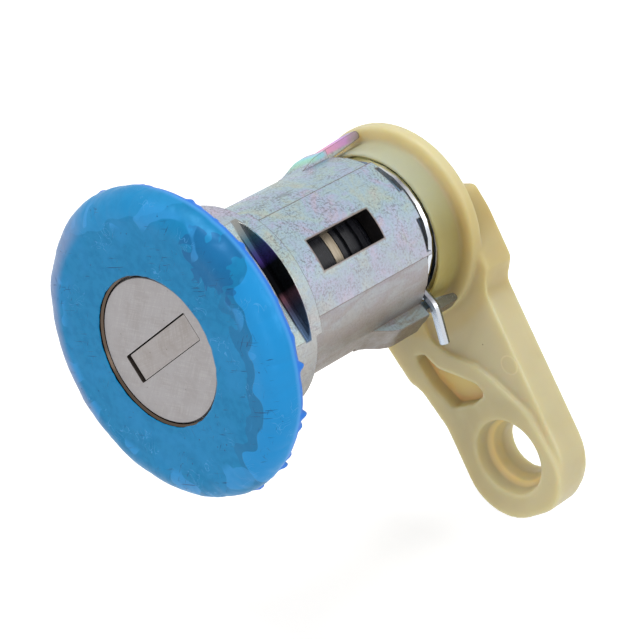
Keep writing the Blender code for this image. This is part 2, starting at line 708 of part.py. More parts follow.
def coil_points(radius, low, high, turns, per_turn, start=0.0):
    """Helix about Y from station low to high."""
    count = max(2, round(turns * per_turn))
    points = []
    for step in range(count + 1):
        t = step / count
        x, z = polar(radius, start + 360.0 * turns * t)
        points.append((x, low + (high - low) * t, z))
    return points


def make_wafer_spring(index, finish, axis):
    """Small compression spring along X, standing in the pocket under the wafer's arm."""
    station = wafer_station(index)
    middle_v = (WAFER_WIDTH / 2.0 + WAFER_ARM) / 2.0 + 0.05
    end = WAFER_SPRING_WIRE / 2.0 + FINE_GAP
    points = [(y, x + station, z + middle_v) for x, y, z in
              coil_points(WAFER_SPRING_RADIUS, end - SPRING_WELL, ARM_BASE - WAFER_TRAVEL - end, 3.0, 6)]
    return make_object(f"wafer_spring_{index + 1}", wire_along(points, WAFER_SPRING_WIRE / 2.0, 4),
                       finish, axis, 60.0)


def make_sleeve(finish, axis):
    """Black liner round the plug: turned rings outside, two wafer grooves inside."""
    top = SLEEVE_RADIUS
    profile = [(THROAT_RADIUS, SLEEVE_START), (top - SLEEVE_EDGE, SLEEVE_START),
               (top, SLEEVE_START + SLEEVE_EDGE)]
    ring_end = RING_START + RING_WIDTH
    first = ring_end + SLEEVE_GROOVE * 2.0
    bands = [(first + SLEEVE_PITCH * i, first + SLEEVE_PITCH * i + SLEEVE_GROOVE * 1.5)
             for i in range(SLEEVE_GROOVES)]
    seat = (RING_START - FINE_GAP, ring_end + FINE_GAP)
    for start, end in sorted(bands + [seat]):
        depth = RING_WALL + FINE_GAP if (start, end) == seat else SLEEVE_GROOVE
        profile += [(top, start), (top - depth, start), (top - depth, end), (top, end)]
    profile += [(top, SLEEVE_END - SLEEVE_EDGE), (top - SLEEVE_EDGE, SLEEVE_END),
                (THROAT_RADIUS, SLEEVE_END)]
    sleeve = make_object("plug_sleeve", lathe(profile, SMALL_SEGMENTS), finish, axis)
    half = WAFER_WIDTH / 2.0 + RUN_GAP
    low = wafer_station(0) - WAFER_THICKNESS
    for side in (1, -1):
        outline = arc((0.0, 0.0), WAFER_GROOVE_RADIUS, -math.degrees(math.asin(half / WAFER_GROOVE_RADIUS)),
                      math.degrees(math.asin(half / WAFER_GROOVE_RADIUS)), 6)
        outline += [(THROAT_RADIUS - 2.0, half), (THROAT_RADIUS - 2.0, -half)]
        groove = prism(outline, low, SLEEVE_END + 1.0)
        turned = turn_about_y(groove, 0.0 if side == 1 else 180.0)
        cut(sleeve, make_object(f"wafer_groove_{side}", turned, None))
    return sleeve


def make_sleeve_ring(finish, axis):
    """Split brass ring in the sleeve's seat, seen through the window."""
    inner = SLEEVE_RADIUS - RING_WALL
    end = 180.0 - RING_GAP_ANGLE
    outline = arc((0.0, 0.0), SLEEVE_RADIUS, -end, end, 40)
    outline += arc((0.0, 0.0), inner, end, -end, 40)
    return make_object("sleeve_ring", prism(outline, RING_START, RING_START + RING_WIDTH), finish, axis)


def make_shutter(finish, pivot):
    """Flush flap with an arm and a knuckle; drawn about its own pivot."""
    half = SLOT_WIDTH / 2.0 - SHUTTER_SIDE_GAP
    front = FACE_FRONT
    rear = FACE_FRONT + SHUTTER_THICKNESS
    flap = prism(slot_outline(SHUTTER_LOW_GAP, SHUTTER_HIGH_GAP, SHUTTER_SIDE_GAP, 0.1), front, rear, 0.05)
    arm_side = [(-half + 0.1, rear - 0.1), (-half + 0.9, rear - 0.1), (-half + 0.9, rear + 0.15),
                (PIVOT_V + 0.5, PIVOT_Y + 0.3), (PIVOT_V, PIVOT_Y), (PIVOT_V + 0.1, PIVOT_Y - 0.5),
                (-half + 0.1, rear + 0.1)]
    arm_half = KNUCKLE_LENGTH / 2.0 - 0.4
    arm = bmesh.new()
    sides = []
    for x in (SLOT_OFFSET - arm_half, SLOT_OFFSET + arm_half):
        sides.append([arm.verts.new((x, y, z)) for z, y in arm_side])
    arm.faces.new(sides[0])
    arm.faces.new(list(reversed(sides[1])))
    for index in range(len(arm_side)):
        after = (index + 1) % len(arm_side)
        arm.faces.new([sides[0][index], sides[1][index], sides[1][after], sides[0][after]])
    half_knuckle = KNUCKLE_LENGTH / 2.0
    knuckle = bar_along_x(KNUCKLE_RADIUS, SLOT_OFFSET - half_knuckle, SLOT_OFFSET + half_knuckle,
                          PIVOT_V, PIVOT_Y)
    bore = bar_along_x(PIVOT_PIN + FINE_GAP, SLOT_OFFSET - half_knuckle - 1.0,
                       SLOT_OFFSET + half_knuckle + 1.0, PIVOT_V, PIVOT_Y)
    for mesh in (flap, arm, knuckle, bore):
        bmesh.ops.translate(mesh, vec=(0.0, -PIVOT_Y, -PIVOT_V), verts=mesh.verts)
    shutter = make_object("dust_shutter", flap, finish, pivot)
    fuse(shutter, make_object("shutter_arm", arm, None))
    fuse(shutter, make_object("shutter_knuckle", knuckle, None))
    cut(shutter, make_object("shutter_bore", bore, None))
    return shutter


def make_shutter_pin(finish, axis):
    half = KNUCKLE_LENGTH / 2.0 + 1.9
    pin = bar_along_x(PIVOT_PIN, SLOT_OFFSET - half + FINE_GAP, SLOT_OFFSET + half - 0.3, PIVOT_V, PIVOT_Y)
    return make_object("shutter_pin", pin, finish, axis)


def make_shutter_spring(finish, axis):
    """Coil round the pin's end, with a short tail along the cavity floor."""
    radius = PIVOT_PIN + FINE_GAP + 0.12
    start = SLOT_OFFSET + KNUCKLE_LENGTH / 2.0 + 0.2
    points = [(y + start, PIVOT_Y + x, PIVOT_V + z) for x, y, z in
              coil_points(radius, 0.0, 0.55, 2.5, 8, 90.0)]
    tail = points[-1]
    points.append((tail[0], tail[1] + 1.2, tail[2]))
    return make_object("shutter_spring", wire_along(points, 0.1, 5), finish, axis, 60.0)


def return_coil(turns):
    """Coil that starts at the leg's station and reaches its own pitch within a short lead."""
    coil = []
    end = COIL_START + COIL_PITCH * turns
    helix = coil_points(COIL_RADIUS, COIL_START, end, turns, COIL_STEPS, COIL_START_ANGLE)
    for index, (x, y, z) in enumerate(helix):
        lead = max(0.0, 1.0 - index / COIL_STEPS / LEAD_TURNS)
        coil.append((x, y - (COIL_START - LEG_STATION) * lead ** 2, z))
    return coil


def make_return_spring(finish, axis):
    """Torsion spring: one leg hooks over a fin, the coil winds back, the other enters the hub slot."""
    slot_angle = ARM_ANGLE - CLOCKING + 180.0
    coil = return_coil(2.0 + (slot_angle - COIL_START_ANGLE) / 360.0)
    beside = (TONGUE_WIDTH + WIRE) / 2.0 + FINE_GAP
    along = polar(1.0, -FIN_ANGLE)

    def by_the_fin(radius, offset):
        return (along[0] * radius - along[1] * offset, LEG_STATION,
                along[1] * radius + along[0] * offset)

    leg = [by_the_fin(LEG_TIP, -beside), by_the_fin(SADDLE_RADIUS + 1.05, 0.66),
           by_the_fin(SADDLE_RADIUS + 0.15, beside), by_the_fin(SADDLE_RADIUS - 1.15, beside)]
    bends = rounded_path(leg + coil[:2], 1.1)
    tail_x, tail_z = polar(COIL_RADIUS, slot_angle)
    tail = [(tail_x, coil[-1][1] + 0.45, tail_z), (tail_x, HUB_FRONT + HUB_THICKNESS + 0.2, tail_z)]
    points = bends + coil[2:] + tail
    return make_object("return_spring", wire_along(points, WIRE / 2.0, 8), finish, axis, 60.0)


def arm_shape(points):
    """Round-cornered outline; each point is (share of ARM_LENGTH, share of HUB_RADIUS, corner radius)."""
    return rounded([(along * ARM_LENGTH, across * HUB_RADIUS, corner * HUB_RADIUS)
                    for along, across, corner in points])


def eye_corners():
    """The two corners that round the arm's end about the rod eye, with its left flank."""
    tip = 1.0 + EYE_END / ARM_LENGTH
    side = EYE_END / HUB_RADIUS
    return [(tip, side - 0.03, 0.6), (tip, -side - 0.015, 0.6), (0.815, -0.611, 0.28),
            (0.64, -0.718, 0.074), (0.604, -0.81, 0.074), (0.425, -0.889, 0.37), (0.044, -0.993, 0.0)]


def arm_outline():
    """Outline of the arm's body, with the arm along +X and the hub's centre at the origin."""
    shoulder = [(-0.033, 0.63, 0.0), (-0.011, 0.815, 0.055), (0.095, 0.847, 0.55),
                (0.298, 0.829, 0.065), (0.371, 0.657, 0.11)]
    return arm_shape(shoulder + eye_corners() + [(-0.033, -0.989, 0.0)])


def land_outline():
    """Outline of the raised land: rib beside the pocket, left flank and the eye's boss."""
    rib = [(0.145, -0.185, 0.0), (0.422, -0.269, 0.046), (0.476, -0.278, 0.093), (0.545, -0.13, 0.11),
           (0.611, 0.12, 0.11), (0.702, 0.296, 0.14), (0.858, 0.519, 0.23)]
    return arm_shape(rib + eye_corners() + [(0.145, -0.555, 0.0)])


def front_pocket():
    return arm_shape([(0.505, -0.602, 0.046), (0.516, -0.435, 0.046), (0.582, -0.361, 0.083),
                      (0.687, 0.037, 0.093), (0.738, 0.102, 0.056), (0.76, -0.111, 0.056),
                      (0.749, -0.407, 0.074), (0.633, -0.546, 0.074)])


def rear_pockets():
    """Cored-out pockets in the rear of the arm, with a rib left between them."""
    first = [(0.276, -0.796), (0.553, -0.667), (0.553, 0.519), (0.353, 0.528), (0.291, 0.685)]
    second = [(0.604, -0.583), (0.705, -0.509), (0.705, 0.491), (0.604, 0.509)]
    return [arm_shape([(along, across, 0.074) for along, across in pocket])
            for pocket in (first, second)]


def make_lever(finish, axis):
    hub_rear = HUB_FRONT + HUB_THICKNESS
    tilt = -CLOCKING + ARM_ANGLE

    def drawn(name, mesh):
        return make_object(name, turn_about_y(mesh, tilt), None)

    hub = lathe([(0.0, HUB_FRONT), (HUB_RADIUS - ROUNDING, HUB_FRONT),
                 (HUB_RADIUS - 0.1, HUB_FRONT + 0.1), (HUB_RADIUS, HUB_FRONT + ROUNDING),
                 (HUB_RADIUS, hub_rear - ROUNDING), (HUB_RADIUS - 0.1, hub_rear - 0.1),
                 (HUB_RADIUS - ROUNDING, hub_rear), (WEB_RADIUS, hub_rear),
                 (WEB_RADIUS - 0.4, hub_rear + WEB_RISE), (HUB_BOSS, hub_rear + WEB_RISE),
                 (HUB_BOSS, ARM_REAR - 0.3), (HUB_BOSS - 0.3, ARM_REAR), (0.0, ARM_REAR)])
    lever = make_object("lever", hub, finish, axis)
    body = prism(arm_outline(), ARM_FLOOR, ARM_REAR - 0.02, ROUNDING, ROUNDING)
    fuse(lever, drawn("arm_body", body))
    land = prism(land_outline(), HUB_FRONT + 0.01, ARM_REAR - 1.0, ROUNDING)
    fuse(lever, drawn("arm_land", land))
    inner = COLLAR_BORE
    outer = inner + COLLAR_WALL
    collar = lathe([(inner, COLLAR_FRONT + 0.1), (inner + 0.1, COLLAR_FRONT),
                    (outer - 0.15, COLLAR_FRONT), (outer, COLLAR_FRONT + 0.15),
                    (outer, HUB_FRONT - 0.25), (outer + 0.25, HUB_FRONT + 0.2), (inner, HUB_FRONT + 0.2)])
    fuse(lever, make_object("spring_collar", collar, None))
    cut(lever, drawn("front_pocket", prism(front_pocket(), HUB_FRONT - 1.0, HUB_FRONT + POCKET_DEPTH)))
    for number, outline in enumerate(rear_pockets()):
        pocket = prism(outline, ARM_REAR - REAR_POCKET_DEPTH, ARM_REAR + 1.0)
        cut(lever, drawn(f"rear_pocket_{number}", pocket))
    dish = lathe([(0.0, HUB_FRONT - 0.5), (EYE_DISH + 0.1, HUB_FRONT - 0.5), (EYE_DISH, HUB_FRONT + 0.2),
                  (EYE_DISH - 0.25, HUB_FRONT + EYE_LIP / 2.0), (EYE_RADIUS + 0.6, HUB_FRONT + EYE_LIP * 0.6),
                  (EYE_RADIUS, HUB_FRONT + EYE_LIP), (EYE_RADIUS, ARM_REAR + 0.5), (0.0, ARM_REAR + 0.5)],
                 SMALL_SEGMENTS)
    bmesh.ops.translate(dish, vec=(ARM_LENGTH, 0.0, 0.0), verts=dish.verts)
    cut(lever, drawn("eye_dish", dish))
    hole = TAIL_RADIUS + FINE_GAP
    edge = math.degrees(math.asin((TAIL_FLAT + FINE_GAP) / hole))
    double_d = arc((0.0, 0.0), hole, -edge, edge, 10) + arc((0.0, 0.0), hole, 180.0 - edge, 180.0 + edge, 10)
    cut(lever, make_object("tail_hole", prism(double_d, HUB_FRONT - 1.0, ARM_REAR + 1.0), None))
    swing = LEVER_SWING + math.degrees(WIRE / COIL_RADIUS) + 4.0
    reach = WIRE / 2.0 + FINE_GAP
    slot = sector(COIL_RADIUS - reach, COIL_RADIUS + reach, (-swing, swing),
                  HUB_FRONT - 0.5, hub_rear + 2.0, 20)
    slot = turn_about_y(slot, ARM_ANGLE - CLOCKING + 180.0)
    cut(lever, make_object("spring_slot", slot, None))
    return lever


def make_washer(finish, axis):
    washer = lathe([(0.0, WASHER_START), (HUB_BOSS - 0.1, WASHER_START),
                    (HUB_BOSS, WASHER_START + 0.1), (HUB_BOSS, WASHER_START + WASHER_THICKNESS),
                    (0.0, WASHER_START + WASHER_THICKNESS)], SMALL_SEGMENTS)
    item = make_object("washer", washer, finish, axis)
    hole = lathe([(0.0, WASHER_START - 1.0), (TAIL_RADIUS + FINE_GAP, WASHER_START - 1.0),
                  (TAIL_RADIUS + FINE_GAP, WASHER_START + 2.0), (0.0, WASHER_START + 2.0)], SMALL_SEGMENTS)
    cut(item, make_object("washer_hole", hole, None))
    return item


def make_circlip(finish, axis):
    """Open retaining clip, wide at its back and with two eyes beside the gap."""
    inner = CLIP_GROOVE + FINE_GAP
    outline = []
    for step in range(41):
        degrees = -150.0 + 300.0 * step / 40
        width = (CLIP_RADIUS - inner) * (0.62 + 0.38 * math.cos(math.radians(degrees)))
        outline.append(polar(inner + max(width, 0.9), degrees))
    outline += arc((0.0, 0.0), inner, 150.0, -150.0, 40)
    return make_object("circlip", prism(outline, CLIP_START, CLIP_START + CLIP_THICKNESS), finish, axis)


def main():
    clear_scene()
    finishes = make_materials()
    axis = bpy.data.objects.new("key_axis", None)
    bpy.context.collection.objects.link(axis)
    axis.rotation_euler.y = math.radians(-CLOCKING)
    pivot = bpy.data.objects.new("shutter_axis", None)
    bpy.context.collection.objects.link(pivot)
    pivot.parent = axis
    pivot.location = (0.0, PIVOT_Y * MM, PIVOT_V * MM)

    make_bezel(finishes["chrome"], axis)
    make_film(finishes["film"], axis)
    make_housing(finishes["zinc"], axis)
    make_face_plate(finishes["steel"], axis)
    make_plug(finishes["zinc"], axis)
    make_shutter(finishes["steel"], pivot)
    make_shutter_pin(finishes["spring"], axis)
    make_shutter_spring(finishes["spring"], axis)
    make_sleeve(finishes["black"], axis)
    make_sleeve_ring(finishes["brass"], axis)
    for index in range(WAFER_COUNT):
        make_wafer(index, finishes["brass"], axis)
        make_wafer_spring(index, finishes["spring"], axis)
    make_return_spring(finishes["spring"], axis)
    make_lever(finishes["nylon"], axis)
    make_washer(finishes["steel"], axis)
    make_circlip(finishes["spring"], axis)
    bpy.context.view_layer.update()


main()
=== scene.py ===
"""Looks of the car door lock: film, metals, nylon, floor, light and camera."""
import math

import bpy
from mathutils import Matrix, Vector, noise

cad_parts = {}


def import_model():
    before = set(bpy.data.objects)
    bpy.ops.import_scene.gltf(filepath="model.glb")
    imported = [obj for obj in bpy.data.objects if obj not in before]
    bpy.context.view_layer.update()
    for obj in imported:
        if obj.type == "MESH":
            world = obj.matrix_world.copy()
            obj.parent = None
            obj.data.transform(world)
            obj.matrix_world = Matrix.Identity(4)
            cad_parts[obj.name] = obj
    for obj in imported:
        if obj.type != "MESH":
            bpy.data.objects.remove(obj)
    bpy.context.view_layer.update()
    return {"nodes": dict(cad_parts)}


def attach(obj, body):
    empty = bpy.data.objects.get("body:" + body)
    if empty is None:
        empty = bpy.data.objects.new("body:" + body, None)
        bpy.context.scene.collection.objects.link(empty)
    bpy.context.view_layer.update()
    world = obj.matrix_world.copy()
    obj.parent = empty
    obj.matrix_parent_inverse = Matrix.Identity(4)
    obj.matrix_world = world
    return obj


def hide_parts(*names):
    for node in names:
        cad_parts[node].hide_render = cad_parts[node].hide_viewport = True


MM = 0.001

# The barrel is turned by these degrees about Y; before that turn its window faces +X
CLOCKING = 45.0

# Ejector pin marks on the lever: x, z and radius in millimetres
EJECTOR_MARKS = ((5.6, 5.0, 1.1), (15.3, -11.5, 1.05))

# Middle of the lever's painted warm shade by the spring, x and z, and the voxel that rounds the
# lever's edges, in millimetres
WARM_SHADE_PART = (7.2, -0.6)
LEVER_VOXEL = 0.16

# Long edges of the raised panel in degrees from +X, and the window's sides in millimetres
PANEL_EDGES = (-32.5, 36.0)
WINDOW_HALF = 1.69
WINDOW_NEAR = 11.1
WINDOW_FAR = 20.1

# The neck's clip flat in millimetres: its soft start and end along the axis, and how far from
# the axis it lies
FLAT_START = (5.0, 5.3)
FLAT_END = (6.05, 5.93)
FLAT_REACH = (8.55, 8.72)

# The film's section in millimetres: radius of its hole, of its flat and of its rim; places of
# its front and its widest line along the axis; its thickness
FILM_HOLE = 7.82
FILM_FLAT = 13.4
FILM_RIM = 16.15
FILM_FRONT = -4.0
FILM_WIDEST = -1.57
FILM_THICKNESS = 0.06

# The film's rear edge is tucked in over a radius in millimetres and through an angle in degrees
FILM_TUCK = 0.75
FILM_TUCK_TURN = 62.0

# Direction in degrees, from +X towards +Z, in which the film's hole lies off centre
HOLE_LEAN = 195.0

# Where the film's lobes, light top and painted pale reflection on the rim lie, as flat directions
# (x, z)
LOBES_TOWARD = (0.766, -0.643)
TOP_TOWARD = (0.25, 0.97)
PALE_REFLECTION_TOWARD = (-0.77, 0.64)

# Middle of the film's dark patch (x, z) in millimetres, and its scratches: direction in
# degrees, length, width and how rare they are
DARK_PATCH = (13.4, 3.4)
FILM_SCRATCHES = ((20.0, 2.6, 0.14, 0.70), (-55.0, 2.0, 0.13, 0.71), (75.0, 1.6, 0.12, 0.72))

# The shutter's lid in millimetres: what lies in front of LID_BACK is lid. Of its upper, lower
# and end edges, the first number says what belongs to the edge and the second how far it moves
LID_BACK = -3.15
LID_UPPER = (1.2, 0.05)
LID_LOWER = (-1.2, 0.14)
LID_END = (6.0, 0.06)

# Points closer than WELD metres are joined, and faces that meet past SHARP degrees stay sharp
WELD = 0.000001
SHARP = 32.0

# The floor in metres: it lies below the turning lever's reach
FLOOR_HEIGHT = -0.0375
FLOOR_HALF = 0.6

# The camera fitted to the photo: place in metres, direction of view, lens and sensor width in
# millimetres
CAMERA_PLACE = (0.16560, -0.16787, 0.13713)
CAMERA_AHEAD = (-0.5739, 0.6499, -0.4982)
CAMERA_LENS = 157.5
CAMERA_SENSOR = 36.0


def linear(red, green, blue):
    """sRGB numbers from 0 to 255 as the shader's linear colour."""
    values = []
    for value in (red, green, blue):
        value /= 255.0
        values.append(value / 12.92 if value <= 0.04045 else ((value + 0.055) / 1.055) ** 2.4)
    return (*values, 1.0)


class Material:
    """A small helper that adds nodes to one material and links them by name."""

    def __init__(self, name):
        self.data = bpy.data.materials.new(name)
        self.data.use_nodes = True
        self.tree = self.data.node_tree
        self.shader = self.tree.nodes["Principled BSDF"]

    def node(self, kind, **settings):
        """Add a node of a kind, with its properties."""
        item = self.tree.nodes.new(kind)
        for key, value in settings.items():
            setattr(item, key, value)
        return item

    def put(self, socket, value):
        """Link a socket, or write a constant, into a socket."""
        if isinstance(value, bpy.types.NodeSocket):
            self.tree.links.new(value, socket)
        elif socket.type == "RGBA" and not isinstance(value, (tuple, list)):
            socket.default_value = (value, value, value, 1.0)
        else:
            socket.default_value = value

    def set(self, **values):
        """Give inputs of the shader their values, by name."""
        for key, value in values.items():
            self.put(self.shader.inputs[key.replace("_", " ")], value)

    def place(self, scale=(1.0, 1.0, 1.0), turn=0.0):
        """Object coordinates in millimetres, turned about Y and scaled."""
        coordinates = self.node("ShaderNodeTexCoord").outputs["Object"]
        if turn:
            turned = self.node("ShaderNodeVectorRotate", rotation_type="Y_AXIS")
            self.put(turned.inputs["Vector"], coordinates)
            self.put(turned.inputs["Angle"], math.radians(turn))
            coordinates = turned.outputs[0]
        mapping = self.node("ShaderNodeMapping")
        self.put(mapping.inputs["Vector"], coordinates)
        mapping.inputs["Scale"].default_value = [value / MM for value in scale]
        return mapping.outputs[0]

    def noise(self, vector, scale, detail=2.0, roughness=0.5, distortion=0.0):
        """Cloudy noise about 0.5; a scale of 1 gives clouds of about a millimetre."""
        item = self.node("ShaderNodeTexNoise")
        self.put(item.inputs["Vector"], vector)
        item.inputs["Scale"].default_value = scale
        item.inputs["Detail"].default_value = detail
        item.inputs["Roughness"].default_value = roughness
        item.inputs["Distortion"].default_value = distortion
        return item.outputs["Fac"]

    def cells(self, vector, scale):
        """Distance to the nearest of many scattered points."""
        item = self.node("ShaderNodeTexVoronoi")
        self.put(item.inputs["Vector"], vector)
        item.inputs["Scale"].default_value = scale
        return item.outputs["Distance"]

    def math(self, operation, first, second=0.0, third=0.0):
        item = self.node("ShaderNodeMath", operation=operation)
        for socket, value in zip(item.inputs, (first, second, third)):
            self.put(socket, value)
        return item.outputs[0]

    def plus(self, first, second):
        return self.math("ADD", first, second)

    def minus(self, first, second):
        return self.math("SUBTRACT", first, second)

    def times(self, first, second):
        return self.math("MULTIPLY", first, second)

    def away(self, value, place):
        """Distance of a value from a place."""
        return self.math("ABSOLUTE", self.minus(value, place))

    def toward(self, x, z, direction):
        """How far a point on the face lies in a flat direction."""
        return self.plus(self.times(x, direction[0]), self.times(z, direction[1]))

    def distance(self, across, up):
        """Length of a flat vector."""
        return self.math("SQRT", self.plus(self.times(across, across), self.times(up, up)))

    def ramp(self, value, low, high, start=0.0, end=1.0):
        """Smooth step of a value from start to end."""
        item = self.node("ShaderNodeMapRange", interpolation_type="SMOOTHSTEP")
        for key, number in (("Value", value), ("From Min", low), ("From Max", high),
                            ("To Min", start), ("To Max", end)):
            self.put(item.inputs[key], number)
        return item.outputs["Result"]

    def colours(self, value, stops):
        """Colours that change along a value, from (position, colour) pairs."""
        item = self.node("ShaderNodeValToRGB")
        band = item.color_ramp
        while len(band.elements) > 1:
            band.elements.remove(band.elements[-1])
        band.elements[0].position, band.elements[0].color = stops[0]
        for position, colour in stops[1:]:
            band.elements.new(position).color = colour
        self.put(item.inputs[0], value)
        return item.outputs[0]

    def mix(self, factor, first, second):
        item = self.node("ShaderNodeMix", data_type="RGBA")
        self.put(item.inputs[0], factor)
        self.put(item.inputs[6], first)
        self.put(item.inputs[7], second)
        return item.outputs[2]

    def parts(self, vector):
        """The x, y and z of a vector."""
        item = self.node("ShaderNodeSeparateXYZ")
        self.put(item.inputs[0], vector)
        return item.outputs

    def facing(self):
        """The way a surface faces, in the world."""
        return self.node("ShaderNodeNewGeometry").outputs["Normal"]

    def bump(self, height, strength, distance, normal=None):
        item = self.node("ShaderNodeBump")
        item.inputs["Strength"].default_value = strength
        item.inputs["Distance"].default_value = distance
        self.put(item.inputs["Height"], height)
        if normal is not None:
            self.put(item.inputs["Normal"], normal)
        return item.outputs[0]

    def soft_edge(self, radius):
        """The surface's direction, rounded near edges."""
        item = self.node("ShaderNodeBevel", samples=4)
        item.inputs["Radius"].default_value = radius
        return item.outputs[0]

    def edge_mask(self, radius, low, high):
        """One on sharp edges and zero on open surfaces."""
        bent = self.node("ShaderNodeVectorMath", operation="DOT_PRODUCT")
        self.put(bent.inputs[0], self.soft_edge(radius))
        self.put(bent.inputs[1], self.facing())
        return self.ramp(bent.outputs["Value"], high, low)

    def scratches(self, turn, length, width, amount):
        """Sparse short lines along one direction, from stretched noise."""
        placed = self.place((1.0 / length, 1.0 / length, 1.0 / width), turn)
        lines = self.noise(placed, 1.0, 1.0, 0.4, 0.3)
        return self.ramp(lines, amount, amount + 0.03)


def film_material():
    """Blue film on polished metal, with lobes, streaks, creases, scratches, specks, and a painted
    reflection and a painted highlight on its rim.
    """
    look = Material("blue_film")
    local = look.place(turn=CLOCKING)
    mottle = look.noise(look.place(), 1.3, 3.0, 0.55)
    base, lobes = film_lobes(look, local, mottle)
    base, streaks = film_rim(look, local, base)
    base, creases, marks = film_wear(look, local, base)
    look.set(Base_Color=base, Metallic=0.08, Roughness=look.ramp(mottle, 0.3, 0.7, 0.32, 0.42),
             Specular_IOR_Level=0.14)
    height = look.plus(look.times(lobes, 0.5), look.times(mottle, 0.12))
    height = look.plus(height, look.times(streaks, 0.4))
    height = look.plus(height, look.times(creases, 0.9))
    height = look.minus(height, look.times(marks, 0.8))
    look.set(Normal=look.bump(height, 0.35, 0.00006))
    return look.data


def film_lobes(look, local, mottle):
    """Teal with lighter and deeper lobes low on the right, a light top and a dark patch."""
    x, _, z = look.parts(local)
    radius = look.distance(x, z)
    broad = look.noise(look.place(), 0.16, 2.0, 0.5, 0.5)
    base = look.mix(look.ramp(mottle, 0.38, 0.66), linear(20, 130, 182), linear(16, 122, 174))
    base = look.mix(look.ramp(broad, 0.42, 0.66, 0.0, 0.6), base, linear(36, 138, 196))

    side = look.math("DIVIDE", look.toward(x, z, LOBES_TOWARD), radius)
    side = look.ramp(side, 0.55, 0.85)
    waves = look.times(look.noise(local, 0.24, 0.6, 0.4, 0.5), 6.0)
    level = look.plus(look.plus(radius, look.times(side, 4.0)), waves)
    lobes = look.ramp(level, 20.35, 20.45)
    base = look.mix(look.times(lobes, 0.85), base, linear(34, 146, 214))
    deeper = look.ramp(look.plus(level, look.times(mottle, 0.5)), 19.3, 19.4)
    deeper = look.times(deeper, look.minus(1.0, lobes))
    base = look.mix(look.times(deeper, look.times(side, 0.7)), base, linear(26, 112, 162))

    top = look.toward(x, z, TOP_TOWARD)
    top = look.plus(top, look.times(look.noise(local, 0.30, 1.0, 0.4, 0.6), 3.0))
    base = look.mix(look.ramp(top, 14.6, 14.75, 0.0, 0.45), base, linear(46, 152, 214))
    apart = look.plus(look.away(x, DARK_PATCH[0]), look.away(z, DARK_PATCH[1]))
    shade = look.plus(apart, look.times(look.noise(local, 0.42, 1.0, 0.4, 1.5), 8.0))
    base = look.mix(look.ramp(shade, 7.7, 7.4, 0.0, 0.6), base, linear(25, 92, 148))
    return base, lobes


def film_rim(look, local, base):
    """Light streaks along the rim, a painted pale reflection on its left side, a painted highlight
    along its turn on the right, and the deep blue torn edge.
    """
    x, y, z = look.parts(local)
    radius = look.distance(x, z)
    polar = look.node("ShaderNodeCombineXYZ")
    look.put(polar.inputs[0], look.times(look.math("ARCTAN2", z, x), 4.0))
    look.put(polar.inputs[1], look.times(radius, 0.30))
    ring = look.times(look.ramp(radius, 12.4, 13.4), look.ramp(radius, 16.0, 15.2))
    streaks = look.ramp(look.noise(polar.outputs[0], 1.0, 1.0, 0.4, 0.4), 0.58, 0.60)
    streaks = look.times(streaks, ring)
    base = look.mix(look.times(streaks, 0.5), base, linear(62, 158, 226))

    # Painted reflection: a pale lilac-grey band on the rim's left side
    left = look.toward(x, z, PALE_REFLECTION_TOWARD)
    pale = look.ramp(look.math("DIVIDE", left, radius), 0.55, 0.85)
    pale = look.times(pale, look.ramp(radius, 13.2, 14.6))
    base = look.mix(look.times(pale, 0.85), base, linear(122, 144, 184))
    # Painted highlight: a light blue band along the rim's turn on the right
    rim_highlight = look.times(look.ramp(y, -2.05, -1.6), look.ramp(left, 6.0, -4.0))
    base = look.mix(look.times(rim_highlight, 0.8), base, linear(76, 158, 232))
    torn = look.ramp(y, -1.6, -1.3)
    base = look.mix(look.times(torn, 0.7), base, linear(36, 112, 224))
    return base, streaks


def film_wear(look, local, base):
    """Thin wandering creases, and scratches and specks on the front."""
    place = look.place()
    patch = look.ramp(look.noise(local, 0.28, 1.0, 0.5), 0.57, 0.63)
    wander = look.noise(local, 0.55, 1.5, 0.5, 1.6)
    creases = look.times(look.ramp(look.away(wander, 0.5), 0.014, 0.004), patch)
    base = look.mix(look.times(creases, 0.55), base, linear(78, 162, 222))

    marks = 0.0
    for turn, length, width, amount in FILM_SCRATCHES:
        marks = look.math("MAXIMUM", look.scratches(turn, length, width, amount), marks)
    marks = look.times(marks, look.ramp(look.parts(local)[1], -3.3, -3.6))
    marks = look.times(marks, look.ramp(look.noise(place, 0.33, 2.0), 0.48, 0.58))
    specks = look.ramp(look.cells(place, 1.1), 0.12, 0.07)
    specks = look.times(specks, look.ramp(look.noise(place, 0.5), 0.54, 0.60))
    marks = look.math("MAXIMUM", marks, specks)
    base = look.mix(look.times(marks, 0.7), base, linear(20, 66, 110))
    return base, creases, marks


def zinc_material():
    """Passivated die-cast zinc: pastel tints, fine crystalline grain, brown-edged lines, painted
    shade on sides, undersides, below the panel and in the window, and a painted reflection on the
    clip flat.
    """
    look = Material("passivated_zinc")
    local = look.place(turn=CLOCKING)
    base = zinc_tints(look, local)
    base, grain, pits = zinc_grain(look, base)
    base = fin_tints(look, local, base)
    base, seam = panel_lines(look, local, base)
    rim, wall_shade = window_masks(look, local)
    base = look.mix(look.times(rim, 0.65), base, linear(134, 110, 90))
    base = zinc_shade_and_edges(look, base)
    # Painted shade: the window's walls near black
    base = look.mix(look.times(wall_shade, 0.9), base, linear(16, 15, 16))
    base, flat = clip_flat(look, local, base)
    rough = look.mix(flat, look.ramp(grain, 0.3, 0.7, 0.48, 0.32), 0.12)
    look.set(Base_Color=base, Metallic=look.math("MULTIPLY_ADD", flat, 0.1, 0.85), Roughness=rough)
    height = look.plus(grain, look.times(pits, -0.6))
    height = look.minus(height, look.times(seam, 0.8))
    calm = look.times(height, look.minus(1.0, flat))
    look.set(Normal=look.bump(calm, 0.6, 0.00005, look.soft_edge(0.00012)))
    return look.data


